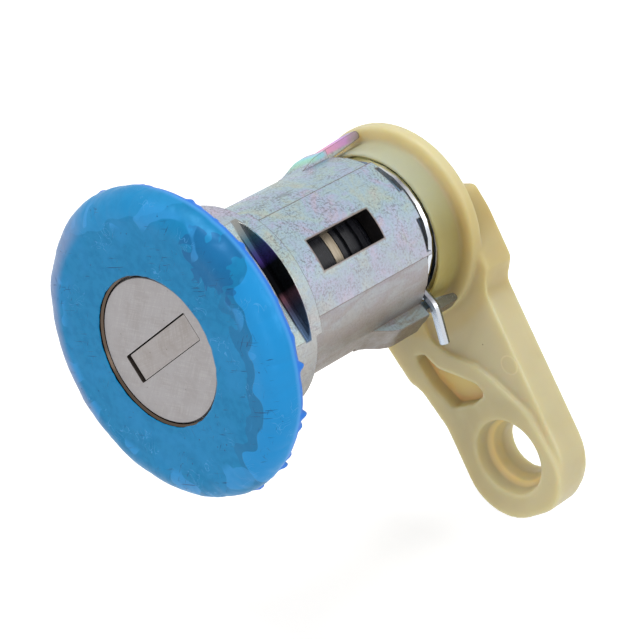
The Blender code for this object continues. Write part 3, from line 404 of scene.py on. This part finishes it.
def zinc_tints(look, local):
    """Broad pale tints of blue, green and lavender, a rosy neck and a dull lower fin."""
    place = look.place()
    x, y, z = look.parts(local)
    base = look.colours(look.noise(place, 0.26, 6.0, 0.68, 0.5), [
        (0.30, linear(188, 188, 179)), (0.41, linear(175, 190, 185)),
        (0.50, linear(164, 188, 199)), (0.58, linear(171, 183, 205)),
        (0.65, linear(184, 179, 199)), (0.74, linear(187, 184, 182))])
    green = look.ramp(look.noise(place, 0.6, 5.0, 0.65, 0.6), 0.54, 0.72, 0.0, 0.45)
    base = look.mix(green, base, linear(178, 202, 178))
    blush = look.ramp(look.noise(local, 0.42, 5.0, 0.65, 0.8), 0.60, 0.76, 0.0, 0.4)
    base = look.mix(blush, base, linear(204, 172, 200))
    neck = look.times(look.ramp(y, 7.2, 6.4), look.ramp(z, 6.0, 9.0))
    base = look.mix(look.times(neck, 0.45), base, linear(206, 184, 200))
    proud = look.ramp(look.distance(x, z), 9.5, 9.9)
    low_fin = look.times(look.ramp(y, 26.0, 27.5), look.times(proud, look.ramp(z, -6.2, -7.0)))
    return look.mix(look.times(low_fin, 0.8), base, linear(108, 102, 84))


def zinc_grain(look, base):
    """Dark grain, light flecks, small pits and short lines."""
    place = look.place()
    grain = look.noise(place, 4.2, 4.0, 0.65, 0.0)
    worn = look.ramp(look.noise(place, 0.5, 2.0, 0.5), 0.38, 0.62, 0.25, 0.75)
    dark = look.times(look.ramp(grain, 0.34, 0.56, 1.0, 0.0), worn)
    base = look.mix(dark, base, linear(112, 110, 112))
    flecks = look.noise(place, 8.5, 3.0, 0.6)
    base = look.mix(look.ramp(flecks, 0.58, 0.74, 0.0, 0.45), base, linear(222, 226, 228))
    pits = look.ramp(look.cells(place, 2.6), 0.16, 0.08)
    pits = look.times(pits, look.ramp(look.noise(place, 0.9, 2.0), 0.50, 0.60))
    base = look.mix(look.times(pits, 0.6), base, linear(84, 78, 80))
    lines = look.scratches(15.0, 2.4, 0.10, 0.68)
    base = look.mix(look.times(lines, 0.35), base, linear(100, 92, 92))
    return base, grain, pits


def fin_tints(look, local, base):
    """Rainbow tints along the upper fin, green at its root and grey at its tip."""
    x, y, z = look.parts(local)
    proud = look.ramp(look.distance(x, z), 9.5, 9.9)
    fin = look.times(look.ramp(y, 21.5, 24.0), look.times(proud, look.ramp(z, 6.2, 7.0)))
    blotch = look.times(look.minus(look.noise(look.place(), 1.1, 1.0), 0.5), 1.8)
    tint = look.colours(look.ramp(look.plus(y, blotch), 22.0, 32.0), [
        (0.02, linear(156, 224, 190)), (0.16, linear(128, 208, 226)),
        (0.34, linear(234, 150, 190)), (0.78, linear(204, 136, 222)),
        (0.95, linear(144, 142, 150))])
    return look.mix(look.times(fin, 0.92), base, tint)


def panel_lines(look, local, base):
    """Brown lines along the raised panel's long edges, and a painted shadow below it, mottled brown
    and grey-green.
    """
    x, y, z = look.parts(local)
    radius = look.distance(x, z)
    turn = look.math("ARCTAN2", z, x)
    along = look.times(look.ramp(y, 7.5, 7.8), look.ramp(y, 26.2, 25.6))
    seam = 99.0
    for degrees in PANEL_EDGES:
        away = look.times(look.away(turn, math.radians(degrees)), radius)
        seam = look.math("MINIMUM", away, seam)
    seam = look.plus(seam, look.times(look.noise(look.place(), 1.2, 2.0), 0.14))
    seam = look.times(look.ramp(seam, 0.22, 0.10), along)
    base = look.mix(look.times(seam, 0.7), base, linear(104, 86, 74))

    # Painted shadow below the panel's lower edge
    below = look.times(look.ramp(turn, math.radians(-31.8), math.radians(-33.0)), along)
    below = look.times(below, look.ramp(radius, 13.0, 11.5))
    shadow_mottle = look.noise(look.place((0.9, 0.25, 0.9)), 1.0, 3.0, 0.6, 0.5)
    shadow_tone = look.mix(look.ramp(shadow_mottle, 0.42, 0.58), linear(112, 98, 86), linear(132, 142, 140))
    base = look.mix(look.times(below, 0.7), base, shadow_tone)
    return base, seam


def window_masks(look, local):
    """One round the window's mouth, and one for the painted shade on its walls."""
    x, y, z = look.parts(local)
    middle = 0.5 * (WINDOW_NEAR + WINDOW_FAR)
    half = 0.5 * (WINDOW_FAR - WINDOW_NEAR)
    reach = look.math("MAXIMUM", look.minus(look.math("ABSOLUTE", z), WINDOW_HALF),
                      look.minus(look.away(y, middle), half))
    front = look.ramp(x, 5.0, 6.0)
    rim = look.plus(reach, look.times(look.noise(look.place(), 1.6, 2.0), -0.25))
    rim = look.times(look.ramp(rim, 0.14, 0.0), front)
    wall_shade = look.times(look.ramp(reach, 0.035, 0.015), front)
    return rim, wall_shade


def zinc_shade_and_edges(look, base):
    """Painted shade: sides darker and undersides brown the more they face down; and brown sharp
    edges.
    """
    up = look.parts(look.facing())[2]
    # Painted shade: darker where the surface faces less upward, brown where it faces down
    base = look.mix(look.ramp(up, 0.80, 0.35, 0.0, 0.4), base, linear(184, 176, 186))
    under = look.math("MULTIPLY_ADD", look.noise(look.place(), 0.6, 2.0), 0.5, up)
    base = look.mix(look.ramp(under, 0.60, 0.10, 0.0, 0.5), base, linear(146, 139, 133))
    base = look.mix(look.ramp(under, 0.10, -0.50, 0.0, 0.75), base, linear(112, 100, 82))
    edge = look.edge_mask(0.00018, 0.93, 0.995)
    return look.mix(look.times(edge, 0.75), base, linear(116, 98, 84))


def clip_flat(look, local, base):
    """The neck's smooth flat with a painted reflection, dark in the middle with bluish ends, and
    its mask.
    """
    x, y, z = look.parts(local)
    flat = look.times(look.ramp(y, *FLAT_START), look.ramp(y, *FLAT_END))
    flat = look.times(flat, look.ramp(look.math("ABSOLUTE", x), *FLAT_REACH))
    flat_reflection = look.colours(look.ramp(z, -6.9, 6.9), [
        (0.0, linear(70, 92, 120)), (0.16, linear(60, 58, 78)), (0.27, linear(96, 62, 72)),
        (0.34, linear(10, 10, 12)), (0.64, linear(8, 9, 14)), (0.72, linear(58, 42, 104)),
        (0.82, linear(62, 66, 120)), (0.92, linear(70, 108, 126)), (1.0, linear(150, 150, 146))])
    return look.mix(flat, base, flat_reflection), flat


def steel_material(name, base, dark, brush_turn):
    """Satin steel with fine brush lines, small dents, and walls darker brown: partly the cut edges'
    own tone, partly painted shade.
    """
    look = Material(name)
    place = look.place()
    cloud = look.noise(place, 0.5, 4.0, 0.6, 0.4)
    colour = look.mix(look.ramp(cloud, 0.35, 0.7), base, dark)
    lines = look.noise(look.place((0.25, 0.25, 5.0), brush_turn), 1.6, 2.0, 0.6)
    other = look.noise(look.place((0.3, 0.3, 6.0), brush_turn + 62.0), 1.4, 2.0, 0.6)
    brushed = look.plus(look.times(lines, 0.5), look.times(other, 0.5))
    colour = look.mix(look.ramp(brushed, 0.46, 0.66, 0.0, 0.16), colour, linear(206, 203, 200))
    pits = look.ramp(look.cells(place, 1.5), 0.12, 0.07)
    pits = look.times(pits, look.ramp(look.noise(place, 0.8), 0.50, 0.58))
    colour = look.mix(look.times(pits, 0.7), colour, linear(92, 84, 78))
    # Walls darker brown: partly the cut edges' own tone, partly painted shade
    walls = look.ramp(look.math("ABSOLUTE", look.parts(look.facing())[1]), 0.5, 0.3)
    colour = look.mix(look.times(walls, 0.85), colour, linear(96, 84, 76))
    look.set(Base_Color=colour, Metallic=0.7, Roughness=look.ramp(brushed, 0.35, 0.65, 0.36, 0.46))
    height = look.minus(look.times(brushed, 0.5), pits)
    look.set(Normal=look.bump(height, 0.2, 0.00003))
    return look.data


def chrome_material():
    """Polished plating with faint wipe marks, dark brown close round the hole."""
    look = Material("plated_chrome")
    place = look.place()
    x, _, z = look.parts(place)
    radius = look.distance(x, z)
    haze = look.noise(place, 0.9, 3.0, 0.6)
    base = look.mix(haze, linear(186, 188, 192), linear(206, 208, 210))
    base = look.mix(look.ramp(radius, 8.7, 8.4), base, linear(88, 76, 66))
    look.set(Base_Color=base, Metallic=1.0, Roughness=look.ramp(haze, 0.3, 0.7, 0.12, 0.24))
    look.set(Normal=look.bump(look.noise(place, 6.0, 2.0), 0.05, 0.00002))
    return look.data


def spring_material():
    """Bright drawn wire with painted reflections: pale and blue-grey bands by the way the surface
    faces, and fine draw lines.
    """
    look = Material("spring_wire")
    place = look.place()
    # Painted reflections: bands picked by the way the surface faces
    across = look.node("ShaderNodeVectorMath", operation="DOT_PRODUCT")
    look.put(across.inputs[0], look.facing())
    across.inputs[1].default_value = (0.75, 0.66, 0.0)
    band = look.math("MULTIPLY_ADD", across.outputs["Value"], 0.5, 0.5)
    base = look.colours(band, [
        (0.0, linear(118, 132, 150)), (0.25, linear(160, 174, 190)), (0.42, linear(222, 226, 230)),
        (0.54, linear(138, 138, 146)), (0.62, linear(224, 226, 228)), (0.78, linear(150, 164, 182)),
        (1.0, linear(108, 116, 126))])
    draw = look.noise(place, 3.0, 2.0, 0.5, 0.2)
    base = look.mix(look.ramp(draw, 0.4, 0.7, 0.0, 0.2), base, linear(196, 200, 206))
    look.set(Base_Color=base, Metallic=1.0, Roughness=0.24)
    look.set(Normal=look.bump(draw, 0.05, 0.00002))
    return look.data


def nylon_material():
    """Natural nylon: cream, translucent, with painted warm shade by the spring and over the hub,
    painted light on its top and pocket floors, and ejector pin rings.
    """
    look = Material("natural_nylon")
    place = look.place()
    x, y, z = look.parts(place)
    cloud = look.noise(place, 0.12, 3.0, 0.55, 0.5)
    base = look.mix(look.ramp(cloud, 0.35, 0.68), linear(201, 192, 153), linear(193, 182, 141))
    # Painted warm shade round the part by the spring
    reach = look.distance(look.minus(x, WARM_SHADE_PART[0]), look.minus(z, WARM_SHADE_PART[1]))
    near = look.ramp(reach, 9.5, 1.5, 0.0, 0.3)
    base = look.mix(near, base, linear(174, 158, 110))
    hub = look.distance(x, z)
    # Painted warm shade over the hub
    dish_shade = look.times(look.ramp(hub, 13.6, 12.4), look.ramp(y, 26.5, 27.5))
    base = look.mix(look.times(dish_shade, 0.5), base, linear(194, 174, 112))
    # Painted shade in the crease by the hub, low down
    crease_shade = look.times(look.ramp(hub, 10.8, 9.0), look.ramp(z, 7.0, 2.0))
    base = look.mix(look.times(crease_shade, look.times(dish_shade, 0.6)), base, linear(162, 136, 58))
    # Painted light on the top of the hub
    top_light = look.times(look.ramp(z, 4.0, 10.0), look.ramp(hub, 15.5, 13.5))
    base = look.mix(look.times(top_light, 0.5), base, linear(222, 214, 178))
    # Painted light on the front-facing floors deep in the pockets
    floor = look.ramp(look.parts(look.facing())[1], -0.3, -0.6)
    deep = look.times(look.ramp(y, 32.4, 33.4), floor)
    base = look.mix(look.times(deep, 0.85), base, linear(236, 216, 148))
    specks = look.ramp(look.cells(place, 0.42), 0.045, 0.03)
    specks = look.times(specks, look.ramp(look.noise(place, 0.3), 0.5, 0.55))
    base = look.mix(look.times(specks, 0.7), base, linear(110, 96, 70))
    rings = 0.0
    for centre_x, centre_z, size in EJECTOR_MARKS:
        reach = look.distance(look.minus(x, centre_x), look.minus(z, centre_z))
        ring = look.ramp(look.away(reach, size), 0.16, 0.02)
        rings = look.math("MAXIMUM", ring, rings)
    rings = look.times(rings, look.ramp(y, 33.2, 32.8))
    base = look.mix(look.times(rings, 0.4), base, linear(222, 212, 176))
    fine = look.noise(place, 1.6, 4.0, 0.6)
    look.set(Base_Color=base, Roughness=look.ramp(fine, 0.3, 0.7, 0.40, 0.52),
             Subsurface_Weight=1.0, Subsurface_Scale=0.004, Subsurface_Radius=(1.0, 0.78, 0.45),
             IOR=1.5, Specular_IOR_Level=0.4)
    height = look.plus(look.times(fine, 0.2), look.times(rings, -0.8))
    look.set(Normal=look.bump(height, 0.4, 0.00006))
    return look.data


def black_material():
    """Black liner seen through the window: satin, with turned lines."""
    look = Material("black_liner")
    place = look.place()
    dust = look.noise(place, 1.3, 4.0, 0.65)
    turned = look.noise(look.place((0.02, 5.0, 0.02)), 1.0, 2.0)
    base = look.mix(look.ramp(dust, 0.5, 0.75, 0.0, 0.6), linear(24, 25, 32), linear(58, 60, 68))
    look.set(Base_Color=base, Roughness=look.ramp(turned, 0.3, 0.7, 0.22, 0.42))
    look.set(Normal=look.bump(turned, 0.2, 0.00004))
    return look.data


def brass_material():
    """Pale wafer brass with rubbed lines."""
    look = Material("pale_brass")
    place = look.place()
    rub = look.noise(look.place((0.4, 5.0, 0.4)), 1.2, 3.0, 0.6)
    base = look.mix(look.ramp(rub, 0.35, 0.7), linear(190, 178, 158), linear(160, 146, 124))
    look.set(Base_Color=base, Metallic=0.8, Roughness=look.ramp(rub, 0.3, 0.7, 0.3, 0.45))
    look.set(Normal=look.bump(look.noise(place, 5.0, 2.0), 0.1, 0.00002))
    return look.data


def dress(frame, node, material):
    """Give a CAD node its finish and smooth shading without touching its shape."""
    item = frame["nodes"][node]
    for slot in item.material_slots:
        slot.material = material
    smooth_shading(item)


def smooth_shading(item):
    """Smooth shading over joined faces, sharp again at real edges."""
    written = item.data.attributes.get("custom_normal")
    if written is not None:
        item.data.attributes.remove(written)
    item.data.shade_smooth()
    item.modifiers.new("weld", "WELD").merge_threshold = WELD
    split = item.modifiers.new("edges", "EDGE_SPLIT")
    split.split_angle = math.radians(SHARP)
    split.use_edge_sharp = False


def mesh_object(name, vertices, faces, material):
    """A smooth-shaded mesh in the scene."""
    mesh = bpy.data.meshes.new(name)
    mesh.from_pydata(vertices, [], faces)
    mesh.materials.append(material)
    mesh.shade_smooth()
    item = bpy.data.objects.new(name, mesh)
    bpy.context.collection.objects.link(item)
    return item


def copy_of(frame, node, name, material):
    """A new object with a CAD node's own shape, to be changed in place of the node."""
    item = bpy.data.objects.new(name, frame["nodes"][node].data.copy())
    bpy.context.collection.objects.link(item)
    item.data.materials.clear()
    item.data.materials.append(material)
    return item


def make_lever(frame, material):
    """The lever's own shape with its edges rounded as a moulding's are."""
    lever = copy_of(frame, "lever", "lever_skin", material)
    lever.modifiers.new("weld", "WELD").merge_threshold = WELD
    remesh = lever.modifiers.new("remesh", "REMESH")
    remesh.mode = "VOXEL"
    remesh.voxel_size = LEVER_VOXEL * MM
    remesh.use_smooth_shade = True
    relax = lever.modifiers.new("relax", "SMOOTH")
    relax.factor = 0.5
    relax.iterations = 18
    lever.modifiers.new("thin", "DECIMATE").ratio = 0.5
    return lever


def make_shutter(frame, material):
    """The shutter's own shape with its lid's edges brought closer to the slot's."""
    shutter = copy_of(frame, "dust_shutter", "shutter_skin", material)
    half = math.sqrt(0.5)
    for vertex in shutter.data.vertices:
        along = (vertex.co.x + vertex.co.z) * half / MM
        across = (vertex.co.z - vertex.co.x) * half / MM
        if vertex.co.y / MM < LID_BACK:
            if across > LID_UPPER[0]:
                across += LID_UPPER[1]
            elif across < LID_LOWER[0]:
                across -= LID_LOWER[1]
            if along > LID_END[0]:
                along += LID_END[1]
        vertex.co.x = (along - across) * half * MM
        vertex.co.z = (along + across) * half * MM
    smooth_shading(shutter)
    return shutter


def smooth_step(value, low, high):
    """Smooth step of a number from 0 to 1."""
    t = min(1.0, max(0.0, (value - low) / (high - low)))
    return t * t * (3.0 - 2.0 * t)


def film_profile(rows):
    """Points (radius, y) in millimetres, evenly spaced from the hole to the film's rear edge."""
    flat, round_width = FILM_FLAT - FILM_HOLE, FILM_RIM - FILM_FLAT
    round_depth, tuck_middle = FILM_WIDEST - FILM_FRONT, FILM_RIM - FILM_TUCK
    outline = [(FILM_HOLE + flat * step / 30, FILM_FRONT) for step in range(31)]
    for step in range(1, 31):
        angle = math.pi / 2.0 * step / 30
        outline.append((FILM_FLAT + round_width * math.sin(angle),
                        FILM_WIDEST - round_depth * math.cos(angle)))
    for step in range(1, 11):
        angle = math.radians(FILM_TUCK_TURN * step / 10)
        outline.append((tuck_middle + FILM_TUCK * math.cos(angle),
                        FILM_WIDEST + FILM_TUCK * math.sin(angle)))
    lengths = [0.0]
    for before, after in zip(outline, outline[1:]):
        lengths.append(lengths[-1] + math.hypot(after[0] - before[0], after[1] - before[1]))
    points = []
    place = 0
    for row in range(rows + 1):
        wanted = lengths[-1] * row / rows
        while place < len(lengths) - 2 and lengths[place + 1] < wanted:
            place += 1
        t = (wanted - lengths[place]) / (lengths[place + 1] - lengths[place])
        before, after = outline[place], outline[place + 1]
        points.append((before[0] + (after[0] - before[0]) * t,
                       before[1] + (after[1] - before[1]) * t))
    return points


def film_lift(angle, radius, height, row_share):
    """How far the film stands off the metal, in millimetres."""
    x, z = math.cos(angle), math.sin(angle)
    rim = smooth_step(radius, 12.6, 15.6)
    pleat = abs(noise.noise(Vector((x * 4.2, z * 4.2, 3.0 + height * 0.25)))) ** 0.7
    ripple = noise.noise(Vector((x * 11.0, z * 11.0, height * 0.8)))
    blister = noise.noise(Vector((x * radius * 0.33, z * radius * 0.33, 8.0)))
    lift = rim * (0.16 * pleat + 0.05 * abs(ripple))
    lift += 0.05 * max(0.0, blister) * smooth_step(radius, 9.0, 12.0)
    tail = smooth_step(row_share, 0.93, 1.0)
    torn = noise.noise(Vector((x * 12.0, z * 12.0, 1.0)))
    loose = 0.5 + 0.5 * smooth_step(noise.noise(Vector((x * 1.7, z * 1.7, 7.0))), -0.35, 0.1)
    lift += tail * (0.06 + 2.2 * loose * max(0.0, torn) ** 2)
    return lift


def hole_shift(angle, radius):
    """Outward shift of the film's inner edge, which is ragged and off centre."""
    x, z = math.cos(angle), math.sin(angle)
    off_centre = 0.09 * (1.0 + math.cos(angle - math.radians(HOLE_LEAN)))
    ragged = 0.10 * noise.noise(Vector((x * 9.0, z * 9.0, 5.0)))
    return (off_centre + max(ragged, -0.03)) * smooth_step(radius, 10.5, 7.8)


def make_film():
    """Crumpled film over the bezel, pleated at the rim and torn along its rear edge."""
    rows, columns = 64, 600
    profile = film_profile(rows)
    vertices = []
    for row, (radius, height) in enumerate(profile):
        before = profile[max(row - 1, 0)]
        after = profile[min(row + 1, rows)]
        along = Vector((after[0] - before[0], after[1] - before[1])).normalized()
        outward = Vector((along.y, -along.x))
        share = row / rows
        for column in range(columns):
            angle = 2.0 * math.pi * column / columns
            lift = film_lift(angle, radius, height, share)
            r = radius + outward.x * lift + hole_shift(angle, radius)
            y = height + outward.y * lift
            vertices.append((r * math.cos(angle) * MM, y * MM, r * math.sin(angle) * MM))
    faces = []
    for row in range(rows):
        for column in range(columns):
            after = (column + 1) % columns
            a, b = row * columns + column, row * columns + after
            faces.append((a, b, b + columns, a + columns))
    film = mesh_object("film_skin", vertices, faces, film_material())
    thickness = film.modifiers.new("thickness", "SOLIDIFY")
    thickness.thickness = FILM_THICKNESS * MM
    thickness.offset = 1.0
    return film


def white_to_eyes(tree, output, low, high):
    """Strength that is high for camera, mirror and glass rays and low for light on the part."""
    path = tree.nodes.new("ShaderNodeLightPath")
    total = path.outputs["Is Camera Ray"]
    for name in ("Is Glossy Ray", "Is Transmission Ray"):
        add = tree.nodes.new("ShaderNodeMath")
        add.operation = "ADD"
        add.use_clamp = True
        tree.links.new(total, add.inputs[0])
        tree.links.new(path.outputs[name], add.inputs[1])
        total = add.outputs[0]
    strength = tree.nodes.new("ShaderNodeMapRange")
    strength.inputs["To Min"].default_value = low
    strength.inputs["To Max"].default_value = high
    tree.links.new(total, strength.inputs["Value"])
    tree.links.new(strength.outputs["Result"], output)


def make_floor():
    """Pale plane, white to the eye, that keeps the part's shadow."""
    half, low = FLOOR_HALF, FLOOR_HEIGHT
    corners = [(-half, -half, low), (half, -half, low), (half, half, low), (-half, half, low)]
    look = Material("pale_floor")
    look.set(Base_Color=linear(236, 236, 236), Roughness=0.95, Specular_IOR_Level=0.0,
             Emission_Color=(1.0, 1.0, 1.0, 1.0))
    white_to_eyes(look.tree, look.shader.inputs["Emission Strength"], 0.0, 0.5)
    return mesh_object("floor", corners, [(0, 1, 2, 3)], look.data)


def make_world():
    """White surroundings that light the part less than they show."""
    world = bpy.data.worlds.new("studio")
    bpy.context.scene.world = world
    world.use_nodes = True
    background = world.node_tree.nodes["Background"]
    background.inputs["Color"].default_value = (1.0, 1.0, 1.0, 1.0)
    white_to_eyes(world.node_tree, background.inputs["Strength"], 0.56, 1.0)


def add_light(name, location, target, size, power):
    """Round white area light in metres and watts, turned to its target."""
    data = bpy.data.lights.new(name, "AREA")
    data.shape = "DISK"
    data.size = size
    data.energy = power
    item = bpy.data.objects.new(name, data)
    bpy.context.collection.objects.link(item)
    item.location = location
    aim = Vector(target) - Vector(location)
    item.rotation_euler = aim.to_track_quat("-Z", "Y").to_euler()


def make_lights():
    """Soft light from above, and weak light from the right and the front."""
    add_light("key", (-0.06, -0.16, 0.60), (0.0, 0.01, -0.005), 0.34, 1.9)
    add_light("side", (0.45, 0.10, 0.30), (0.0, 0.015, -0.005), 0.25, 0.6)
    add_light("front", (0.25, -0.45, 0.05), (0.0, 0.0, 0.0), 0.20, 0.2)


def make_camera():
    """The camera that was fitted to the photo."""
    data = bpy.data.cameras.new("camera")
    data.sensor_width = CAMERA_SENSOR
    data.lens = CAMERA_LENS
    data.clip_start = 0.01
    item = bpy.data.objects.new("camera", data)
    bpy.context.collection.objects.link(item)
    ahead = Vector(CAMERA_AHEAD).normalized()
    right = ahead.cross(Vector((0.0, 0.0, 1.0))).normalized()
    up = right.cross(ahead)
    turn = Matrix((right, up, -ahead)).transposed().to_4x4()
    item.matrix_world = Matrix.Translation(CAMERA_PLACE) @ turn
    bpy.context.scene.camera = item


def main():
    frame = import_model()
    bpy.context.scene.view_settings.view_transform = "Standard"

    zinc = zinc_material()
    steel = steel_material("face_steel", linear(153, 150, 151), linear(146, 142, 142), 12.0)
    shutter = steel_material("shutter_steel", linear(151, 146, 145), linear(143, 137, 134), 38.0)
    nylon = nylon_material()
    spring = spring_material()
    brass = brass_material()
    black = black_material()
    finishes = {
        "bezel": chrome_material(), "housing": zinc, "key_plug": zinc, "face_plate": steel,
        "shutter_pin": spring, "shutter_spring": spring, "return_spring": spring,
        "plug_sleeve": black, "sleeve_ring": brass, "washer": steel, "circlip": spring}
    for node in frame["nodes"]:
        if node.startswith("wafer_spring"):
            finishes[node] = spring
        elif node.startswith("wafer"):
            finishes[node] = brass
    for node, finish in finishes.items():
        dress(frame, node, finish)

    film = make_film()
    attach(film, "housing")
    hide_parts("protective_film")

    lever = make_lever(frame, nylon)
    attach(lever, "rotor")
    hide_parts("lever")

    lid = make_shutter(frame, shutter)
    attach(lid, "shutter")
    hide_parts("dust_shutter")

    make_floor()
    make_world()
    make_lights()
    make_camera()


main()
